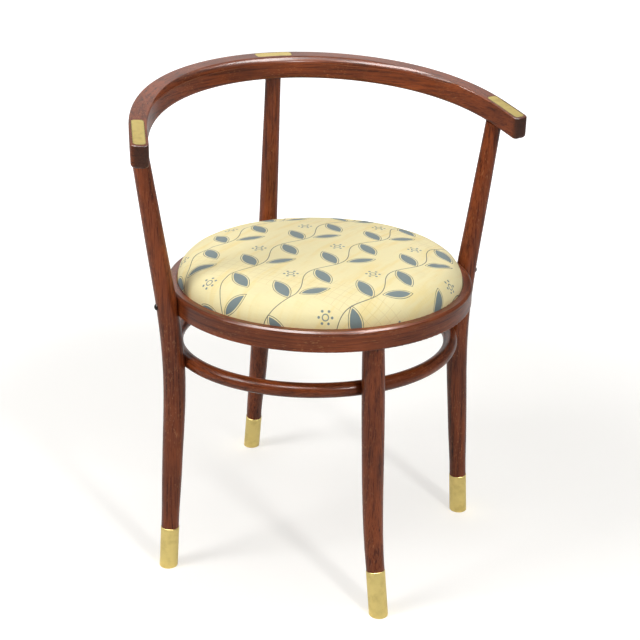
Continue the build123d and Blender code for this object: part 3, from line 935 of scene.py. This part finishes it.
@dataclass
class UpholsteredSeat:
    """Crowned round cushion over a plywood board."""

    axis_y: float = SEAT_AXIS_Y
    cover_radius: float = 0.2176
    ring_top: float = 0.4475
    under: float = LEDGE_TOP
    board_bottom: float = 0.4289
    board_top: float = 0.4411
    board_edge: float = 0.2165
    turn_under: float = 0.1786
    tuck: float = 0.004
    fold: float = 0.001
    shoulder: float = 0.034
    dome_angle: float = math.radians(6.0)
    grid: int = 72
    hold: float = 0.0005
    slack: float = 0.97
    swell_cap: float = 0.0025
    pressure: float = 4.0
    frames: int = 20
    cloth_quality: int = 6
    cloth_mass: float = 0.25
    cloth_stretch: float = 22.0
    cloth_shear: float = 12.0
    cloth_bend: float = 1.5
    lumps: Unevenness = Unevenness(9.0, 0.0011, 0.4)
    pulls: Unevenness = Unevenness(7.0, 0.0006, 2.3)
    settle_from: float = 0.001
    settle_full: float = 0.02
    pull_from: float = 0.75

    def crown(self, arc: float) -> Pair:
        """Section of the crown by its run from the middle.

        Args:
            arc: run along the cloth from the middle, in metres.

        Returns:
            The radius and the height.
        """
        middle = self.cover_radius - self.shoulder
        dome = self.dome_radius()
        dome_run = dome * self.dome_angle
        edge_height = self.ring_top + self.shoulder * math.cos(self.dome_angle)
        if arc <= dome_run:
            angle = arc / dome
            drop = dome * (math.cos(angle) - math.cos(self.dome_angle))
            return dome * math.sin(angle), edge_height + drop
        angle = self.dome_angle + (arc - dome_run) / self.shoulder
        return middle + self.shoulder * math.sin(angle), self.ring_top + self.shoulder * math.cos(angle)

    def dome_radius(self) -> float:
        """Radius of the flat dome between the rounded shoulders."""
        edge = self.cover_radius - self.shoulder + self.shoulder * math.sin(self.dome_angle)
        return edge / math.sin(self.dome_angle)

    def crown_run(self) -> float:
        """Run of the cloth from the middle down to the ring."""
        return self.dome_radius() * self.dome_angle + self.shoulder * (math.pi / 2 - self.dome_angle)

    def disc(self) -> list[list[Pair]]:
        """Draws a square grid out to a disc.

        Returns:
            Rows of corners, each as a share of the radius and a turn.
        """
        rows = []
        for j in range(self.grid + 1):
            t = 2 * j / self.grid - 1
            row = []
            for i in range(self.grid + 1):
                s = 2 * i / self.grid - 1
                x, y = s * math.sqrt(1 - t * t / 2), t * math.sqrt(1 - s * s / 2)
                row.append((min(1.0, math.hypot(x, y)), math.atan2(y, x)))
            rows.append(row)
        return rows

    def rim(self) -> list[tuple[int, int]]:
        """Finds the disc's outer corners.

        Returns:
            Their rows and columns, in order round the disc.
        """
        n = self.grid
        first = [(0, i) for i in range(n)] + [(j, n) for j in range(n)]
        return first + [(n, i) for i in range(n, 0, -1)] + [(j, 0) for j in range(n, 0, -1)]

    def section(self) -> tuple[Pair, ...]:
        """Draws the cloth below the crown, down into the seat and round the board.

        Returns:
            Radius and height of each corner of the section.
        """
        return (
            (self.cover_radius, self.ring_top - self.tuck),
            (self.cover_radius, self.under + self.fold),
            (self.cover_radius - self.fold, self.under),
            (self.turn_under, self.under),
            (self.turn_under, self.board_bottom),
            (self.board_edge, self.board_bottom),
            (self.board_edge, self.board_top),
        )

    def build(self) -> bpy.types.Object:
        """Builds the cushion as one closed form that wraps the board's edge.

        Returns:
            The cushion.
        """
        run = self.crown_run()
        form = ClothForm(self.axis_y)
        disc = self.disc()
        top = [
            [form.corner(*self.crown(share * run), turn, share * run) for share, turn in row]
            for row in disc
        ]
        form.patch(top)
        rim = self.rim()
        above = [top[j][i] for j, i in rim]
        reach, before = run, (self.cover_radius, self.ring_top)
        for radius, height in self.section():
            reach += math.hypot(radius - before[0], height - before[1])
            below = [form.corner(radius, height, disc[j][i][1], reach) for j, i in rim]
            form.strip(above, below)
            above, before = below, (radius, height)
        edge = dict(zip(rim, above))
        inside = [
            [
                edge.get((j, i)) or form.corner(share * self.board_edge, self.board_top, turn, share * reach)
                for i, (share, turn) in enumerate(row)
            ]
            for j, row in enumerate(disc)
        ]
        form.patch(inside)
        return show("seat_cushion", form.mesh("seat_cushion"))

    def inflate(self, cushion: bpy.types.Object, held: str) -> list[Vector]:
        """Runs the cloth under pressure.

        Args:
            cushion: the cushion, a little slack.
            held: the group of corners that stay in place.

        Returns:
            Where its corners come to rest.
        """
        cloth = cushion.modifiers.new("swell", "CLOTH")
        settings = cloth.settings
        settings.quality = self.cloth_quality
        settings.mass = self.cloth_mass
        settings.tension_stiffness = settings.compression_stiffness = self.cloth_stretch
        settings.shear_stiffness = self.cloth_shear
        settings.bending_stiffness = self.cloth_bend
        settings.use_pressure = True
        settings.uniform_pressure_force = self.pressure
        settings.vertex_group_mass = held
        settings.effector_weights.gravity = 0.0
        cloth.collision_settings.use_collision = False
        cloth.point_cache.frame_start = 1
        cloth.point_cache.frame_end = self.frames
        for count in range(1, self.frames + 1):
            bpy.context.scene.frame_set(count)
        depsgraph = bpy.context.evaluated_depsgraph_get()
        swollen = [v.co.copy() for v in cushion.evaluated_get(depsgraph).data.vertices]
        cushion.modifiers.remove(cloth)
        bpy.context.scene.frame_set(1)
        return swollen

    def swell(self, cushion: bpy.types.Object) -> None:
        """Lets the stuffing swell the cloth outwards up to a cap, held where it goes into the ring.

        Args:
            cushion: the cushion, whose mesh takes the swollen shape.
        """
        verts = cushion.data.vertices
        held = cushion.vertex_groups.new(name="held")
        held.add([v.index for v in verts if v.co.z <= self.ring_top + self.hold], 1.0, "REPLACE")
        start = [(v.co.copy(), v.normal.copy()) for v in verts]
        for vert in verts:
            if vert.co.z > self.ring_top:
                vert.co.z = self.ring_top + (vert.co.z - self.ring_top) * self.slack
        swollen = self.inflate(cushion, held.name)
        for vert, (was, outward), now in zip(cushion.data.vertices, start, swollen):
            move = now - was
            move -= outward * min(0.0, move.dot(outward))
            if move.length > self.swell_cap:
                move *= self.swell_cap / move.length
            vert.co = was + move if was.z > self.ring_top + self.hold else was
        log.info("cushion swollen: top at %.4f m", max(v.co.z for v in cushion.data.vertices))

    def settle(self, cushion: bpy.types.Object) -> None:
        """Adds the faint unevenness of stuffing and of cloth pulled down round the edge.

        Args:
            cushion: the cushion.
        """
        for vert in cushion.data.vertices:
            rise = vert.co.z - self.ring_top
            if rise <= self.settle_from:
                continue
            x, y = vert.co.x, vert.co.y - self.axis_y
            share = min(1.0, rise / self.settle_full)
            turn = math.atan2(y, x)
            pull = self.pulls.at(math.cos(turn), math.sin(turn))
            rim = max(0.0, math.hypot(x, y) / self.cover_radius - self.pull_from) / (1 - self.pull_from)
            vert.co.z += share * (self.lumps.at(x, y) + pull * rim)

    def dress(self, cushion: bpy.types.Object) -> None:
        """Args:
            cushion: the cushion.
        """
        cushion.data.materials.append(SeatCloth().make())
        fine = cushion.modifiers.new("fine", "SUBSURF")
        fine.levels = fine.render_levels = 1
        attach(cushion, BODY)
        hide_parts("seat_cover", "seat_padding")
        coat("seat_board", BirchPly().make())
        log.info("seat_cushion: cloth over padding")


@dataclass(frozen=True)
class DomeHead:
    """Shape of a dome head, with or without a slot."""

    diameter: float
    dome: float
    slot: float = 0.0
    segments: int = 24
    steps: int = 5
    slot_depth: float = 0.55
    slot_reach: float = 0.66
    slot_lowest: float = 0.2
    crease: float = math.radians(40.0)

    def build(self, name: str) -> bpy.types.Mesh:
        """Builds the head with its seat at the origin, looking up.

        Args:
            name: the mesh.

        Returns:
            The closed mesh.
        """
        work = bmesh.new()
        half = self.diameter / 2
        rings = []
        for step in range(self.steps):
            lift = math.pi / 2 * step / self.steps
            out, high = half * math.cos(lift), self.dome * math.sin(lift)
            turns = (2 * math.pi * k / self.segments for k in range(self.segments))
            rings.append([work.verts.new((out * math.cos(t), out * math.sin(t), high)) for t in turns])
        crown = work.verts.new((0.0, 0.0, self.dome))
        for low, high in zip(rings, rings[1:]):
            for k in range(self.segments):
                work.faces.new((low[k - 1], low[k], high[k], high[k - 1]))
        for k in range(self.segments):
            work.faces.new((rings[-1][k - 1], rings[-1][k], crown))
        work.faces.new(list(reversed(rings[0])))
        if self.slot:
            self.cut_slot(work)
        bmesh.ops.recalc_face_normals(work, faces=work.faces)
        for face in work.faces:
            face.smooth = True
        made = bpy.data.meshes.new(name)
        work.to_mesh(made)
        work.free()
        made.set_sharp_from_angle(angle=self.crease)
        return made

    def cut_slot(self, work: bmesh.types.BMesh) -> None:
        """Sinks a straight slot into the dome.

        Args:
            work: the head in the making.
        """
        side, end = self.slot / 2, self.slot_reach * self.diameter / 2
        across, along = Vector((1.0, 0.0, 0.0)), Vector((0.0, 1.0, 0.0))
        for aim, distance in ((across, side), (across, -side), (along, end), (along, -end)):
            everything = work.verts[:] + work.edges[:] + work.faces[:]
            bmesh.ops.bisect_plane(work, geom=everything, plane_co=aim * distance, plane_no=aim)
        strip = []
        for face in work.faces:
            middle = face.calc_center_median()
            within = abs(middle.x) < side and abs(middle.y) < end
            if within and middle.z > self.dome * self.slot_lowest:
                strip.append(face)
        sunk = bmesh.ops.extrude_face_region(work, geom=strip)
        for item in sunk["geom"]:
            if isinstance(item, bmesh.types.BMVert):
                item.co.z = self.dome * (1 - self.slot_depth)
        bmesh.ops.delete(work, geom=strip, context="FACES_KEEP_BOUNDARY")


@dataclass(frozen=True)
class FastenerSet:
    """Like fasteners in one node of the frame, by where each head sits and looks."""

    name: str
    node: str
    head: DomeHead
    places: tuple[tuple[Point, Point], ...]


def ring_screws() -> FastenerSet:
    """Sets out the screws through the legs into the seat ring.

    Returns:
        The set.
    """
    side_x, side_y, back_y, height = 0.26209, -0.04376, 0.2254, 0.43225
    out, forward = 0.9988, -0.0486
    places = (
        ((side_x, side_y, height), (out, forward, 0.0)),
        ((-side_x, side_y, height), (-out, forward, 0.0)),
        ((0.0, back_y, height), (0.0, 1.0, 0.0)),
    )
    head = DomeHead(diameter=0.0095, dome=0.0032, slot=0.0013)
    return FastenerSet("ring_screw_heads", "ring_screws", head, places)


def hoop_screws() -> FastenerSet:
    """Sets out the screws from inside the hoop into the legs.

    Returns:
        The set.
    """
    side_x, side_y, front_y, back_y, height = 0.20263, -0.04464, -0.20551, 0.18528, 0.340
    places = (
        ((side_x, side_y, height), (-1.0, 0.0, 0.0)),
        ((-side_x, side_y, height), (1.0, 0.0, 0.0)),
        ((0.0, front_y, height), (0.0, 1.0, 0.0)),
        ((0.0, back_y, height), (0.0, -1.0, 0.0)),
    )
    head = DomeHead(diameter=0.008, dome=0.0024, slot=0.0011)
    return FastenerSet("hoop_screw_heads", "hoop_screws", head, places)


def cover_tacks(count: int = 16, radius: float = 0.1848) -> FastenerSet:
    """Sets out the tacks round the turned-under edge of the cover.

    Args:
        count: how many there are.
        radius: their distance from the seat's axis.

    Returns:
        The set.
    """
    places = []
    for step in range(count):
        turn = (2 * step + 1) * math.pi / count
        place = (radius * math.cos(turn), SEAT_AXIS_Y + radius * math.sin(turn), LEDGE_TOP)
        places.append((place, (0.0, 0.0, -1.0)))
    head = DomeHead(diameter=0.005, dome=0.0012, segments=14, steps=3)
    return FastenerSet("tack_heads", "cover_tacks", head, tuple(places))


@dataclass
class Fasteners:
    """Screws and tacks, set out by one node tree."""

    hidden: tuple[str, ...] = ("rail_screws", "board_screws")
    head_size: float = 1.0
    seed: int = 11

    def tree(self) -> bpy.types.NodeTree:
        """Builds the tree that sets a head on each point and turns it at random.

        Returns:
            The tree, whose inputs are the points, the head, its size, the seed and the finish.
        """
        group = bpy.data.node_groups.new("set_out_heads", "GeometryNodeTree")
        kinds = {
            "Points": "NodeSocketGeometry",
            "Head": "NodeSocketObject",
            "Head size": "NodeSocketFloat",
            "Turn seed": "NodeSocketInt",
            "Finish": "NodeSocketMaterial",
        }
        for name, kind in kinds.items():
            group.interface.new_socket(name, in_out="INPUT", socket_type=kind)
        group.interface.new_socket("Heads", in_out="OUTPUT", socket_type="NodeSocketGeometry")
        sheet = NodeSheet(group)
        given, result = sheet.add("NodeGroupInput"), sheet.add("NodeGroupOutput")
        aim = sheet.add("GeometryNodeInputNamedAttribute", data_type="FLOAT_VECTOR")
        aim.inputs["Name"].default_value = "aim"
        facing = sheet.add("FunctionNodeAlignRotationToVector", axis="Z")
        sheet.put(aim.outputs["Attribute"], facing.inputs["Vector"])
        chance = sheet.add("FunctionNodeRandomValue", data_type="FLOAT")
        chance.inputs[RANDOM_MOST].default_value = math.pi
        sheet.put(given.outputs["Turn seed"], chance.inputs["Seed"])
        spin = sheet.add("FunctionNodeAxisAngleToRotation")
        sheet.put(chance.outputs[RANDOM_RESULT], spin.inputs["Angle"])
        turned = sheet.add("FunctionNodeRotateRotation", rotation_space="LOCAL")
        sheet.fill(turned, {"Rotation": facing.outputs[0], "Rotate By": spin.outputs[0]})
        head = sheet.add("GeometryNodeObjectInfo")
        sheet.put(given.outputs["Head"], head.inputs["Object"])
        copies = sheet.add("GeometryNodeInstanceOnPoints")
        layout = {
            "Points": given.outputs["Points"],
            "Instance": head.outputs["Geometry"],
            "Rotation": turned.outputs[0],
            "Scale": given.outputs["Head size"],
        }
        sheet.fill(copies, layout)
        real = sheet.add("GeometryNodeRealizeInstances")
        sheet.put(copies.outputs[0], real.inputs[0])
        finish = sheet.add("GeometryNodeSetMaterial")
        sheet.fill(finish, {"Geometry": real.outputs[0], "Material": given.outputs["Finish"]})
        sheet.put(finish.outputs[0], result.inputs[0])
        return group

    def build(
        self, kind: FastenerSet, group: bpy.types.NodeTree, steel: bpy.types.Material
    ) -> bpy.types.Object:
        """Builds one set as a plain mesh.

        Args:
            kind: the set.
            group: the tree that sets it out.
            steel: its finish.

        Returns:
            The piece.
        """
        head = show("one_head", kind.head.build("one_head"))
        dots = bpy.data.meshes.new("head_places")
        dots.from_pydata([place for place, _ in kind.places], [], [])
        aims = dots.attributes.new("aim", "FLOAT_VECTOR", "POINT")
        for item, (_, aim) in zip(aims.data, kind.places):
            item.vector = aim
        points = show("head_places", dots)
        setter = points.modifiers.new("heads", "NODES")
        setter.node_group = group
        given = {"Head": head, "Head size": self.head_size, "Turn seed": self.seed, "Finish": steel}
        for item in group.interface.items_tree:
            if item.name in given:
                setter[item.identifier] = given[item.name]
        depsgraph = bpy.context.evaluated_depsgraph_get()
        mesh = bpy.data.meshes.new_from_object(points.evaluated_get(depsgraph))
        mesh.name = kind.name
        points.modifiers.remove(setter)
        for spare in (points, head):
            bpy.data.objects.remove(spare)
        return show(kind.name, mesh)

    def dress(self) -> None:
        steel = DarkSteel().make()
        group = self.tree()
        for kind in (ring_screws(), hoop_screws(), cover_tacks()):
            piece = self.build(kind, group, steel)
            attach(piece, BODY)
            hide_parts(kind.node)
            log.info("%s: %d heads", kind.name, len(kind.places))
        for node in self.hidden:
            coat(node, steel)


@dataclass(frozen=True)
class Lamp:
    """Soft lamp, by its place, its aim, its two sides in metres and its power in watts."""

    name: str
    place: Point
    aim: Point
    size: Pair
    power: float
    gloss_only: bool = False

    def hang(self, left_out: bpy.types.Collection) -> None:
        """Hangs the lamp.

        Args:
            left_out: pieces that it leaves out if it shows in polished surfaces alone.
        """
        data = bpy.data.lights.new(self.name, "AREA")
        data.shape = "RECTANGLE"
        data.size, data.size_y = self.size
        data.energy = self.power
        made = bpy.data.objects.new(self.name, data)
        made.location = self.place
        aim = Vector(self.aim) - Vector(self.place)
        made.rotation_euler = aim.to_track_quat("-Z", "Y").to_euler()
        made.visible_camera = False
        made.visible_diffuse = not self.gloss_only
        if self.gloss_only:
            made.light_linking.receiver_collection = left_out
        bpy.context.scene.collection.objects.link(made)


@dataclass
class Studio:
    """Camera, lamps, floor and surroundings."""

    eye: Point = (-0.7037, -1.7524, 1.1150)
    azimuth: float = math.radians(-22.277)
    elevation: float = math.radians(21.74)
    roll: float = math.radians(1.3)
    lens: float = 72.35
    film_width: float = 36.0
    sight: float = 60.0
    floor_half: float = 14.0
    white: Colour = (1.0, 1.0, 1.0)
    surround: float = 0.16
    spared: tuple[str, ...] = PLATES
    lamps: tuple[Lamp, ...] = (
        Lamp("front_lamp", (0.5, -2.8, 2.2), (0.0, 0.0, 0.45), (0.36, 0.36), 42.0),
        Lamp("left_lamp", (-2.3, -0.15, 2.3), (0.0, 0.0, 0.4), (1.0, 1.0), 47.0),
        Lamp("top_lamp", (0.1, -0.5, 3.0), (0.0, 0.0, 0.4), (1.6, 1.6), 23.0),
        Lamp("right_strip", (0.95, -0.7, 2.8), (0.95, -0.7, 0.0), (0.7, 2.2), 150.0, gloss_only=True),
        Lamp("left_strip", (-0.85, -0.5, 2.85), (-0.85, -0.5, 0.0), (1.1, 2.2), 230.0, gloss_only=True),
        Lamp("white_backdrop", (0.9, 3.6, 2.1), (0.0, 0.0, 0.9), (4.5, 4.0), 48.0),
    )

    def camera(self) -> None:
        """Stands the camera where the photograph was taken."""
        a, e, r = self.azimuth, self.elevation, self.roll
        back = Vector((math.sin(a) * math.cos(e), -math.cos(a) * math.cos(e), math.sin(e)))
        right = Vector((math.cos(a), math.sin(a), 0.0))
        up = back.cross(right)
        across = right * math.cos(r) + up * math.sin(r)
        above = up * math.cos(r) - right * math.sin(r)
        data = bpy.data.cameras.new("camera")
        data.sensor_width = self.film_width
        data.lens = self.lens
        data.clip_end = self.sight
        made = bpy.data.objects.new("camera", data)
        turn = Matrix((across, above, back)).transposed().to_4x4()
        made.matrix_world = Matrix.Translation(self.eye) @ turn
        bpy.context.scene.collection.objects.link(made)
        bpy.context.scene.camera = made

    def left_out(self) -> bpy.types.Collection:
        """Gathers the pieces that a gloss-only lamp leaves out.

        Returns:
            The collection, with each piece marked as left out.
        """
        group = bpy.data.collections.new("left_out")
        for node in self.spared:
            group.objects.link(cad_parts[node])
        for item in group.collection_objects:
            item.light_linking.link_state = "EXCLUDE"
        return group

    def floor(self) -> None:
        """Lays the floor."""
        h = self.floor_half
        mesh = bpy.data.meshes.new("floor")
        mesh.from_pydata([(-h, -h, 0), (h, -h, 0), (h, h, 0), (-h, h, 0)], [], [(0, 1, 2, 3)])
        mesh.materials.append(PaleFloor().make())
        show("floor", mesh)

    def surroundings(self) -> None:
        """Makes white surroundings that light the chair softly."""
        world = bpy.data.worlds.new("surroundings")
        bpy.context.scene.world = world
        world.use_nodes = True
        sheet = NodeSheet(world.node_tree)
        seen = sheet.seen(sheet.add("ShaderNodeLightPath"))
        strength = sheet.span(seen, Ramp(0.0, 1.0, self.surround, 1.0))
        back = sheet.add("ShaderNodeBackground")
        sheet.fill(back, {"Color": self.white, "Strength": strength})
        output = sheet.add("ShaderNodeOutputWorld")
        sheet.put(back.outputs[0], output.inputs["Surface"])

    def build(self) -> None:
        """Sets up the whole studio."""
        bpy.context.scene.view_settings.view_transform = "Standard"
        self.camera()
        left_out = self.left_out()
        for lamp in self.lamps:
            lamp.hang(left_out)
        self.floor()
        self.surroundings()


def main() -> None:
    """Builds the chair's pieces and the studio in order."""
    logging.basicConfig(level=logging.INFO, format="%(name)s: %(message)s")
    Studio().build()
    BentFrame().dress()
    BrassFittings().dress()
    seat = UpholsteredSeat()
    cushion = seat.build()
    seat.swell(cushion)
    seat.settle(cushion)
    seat.dress(cushion)
    Fasteners().dress()


if __name__ == "__main__":
    main()
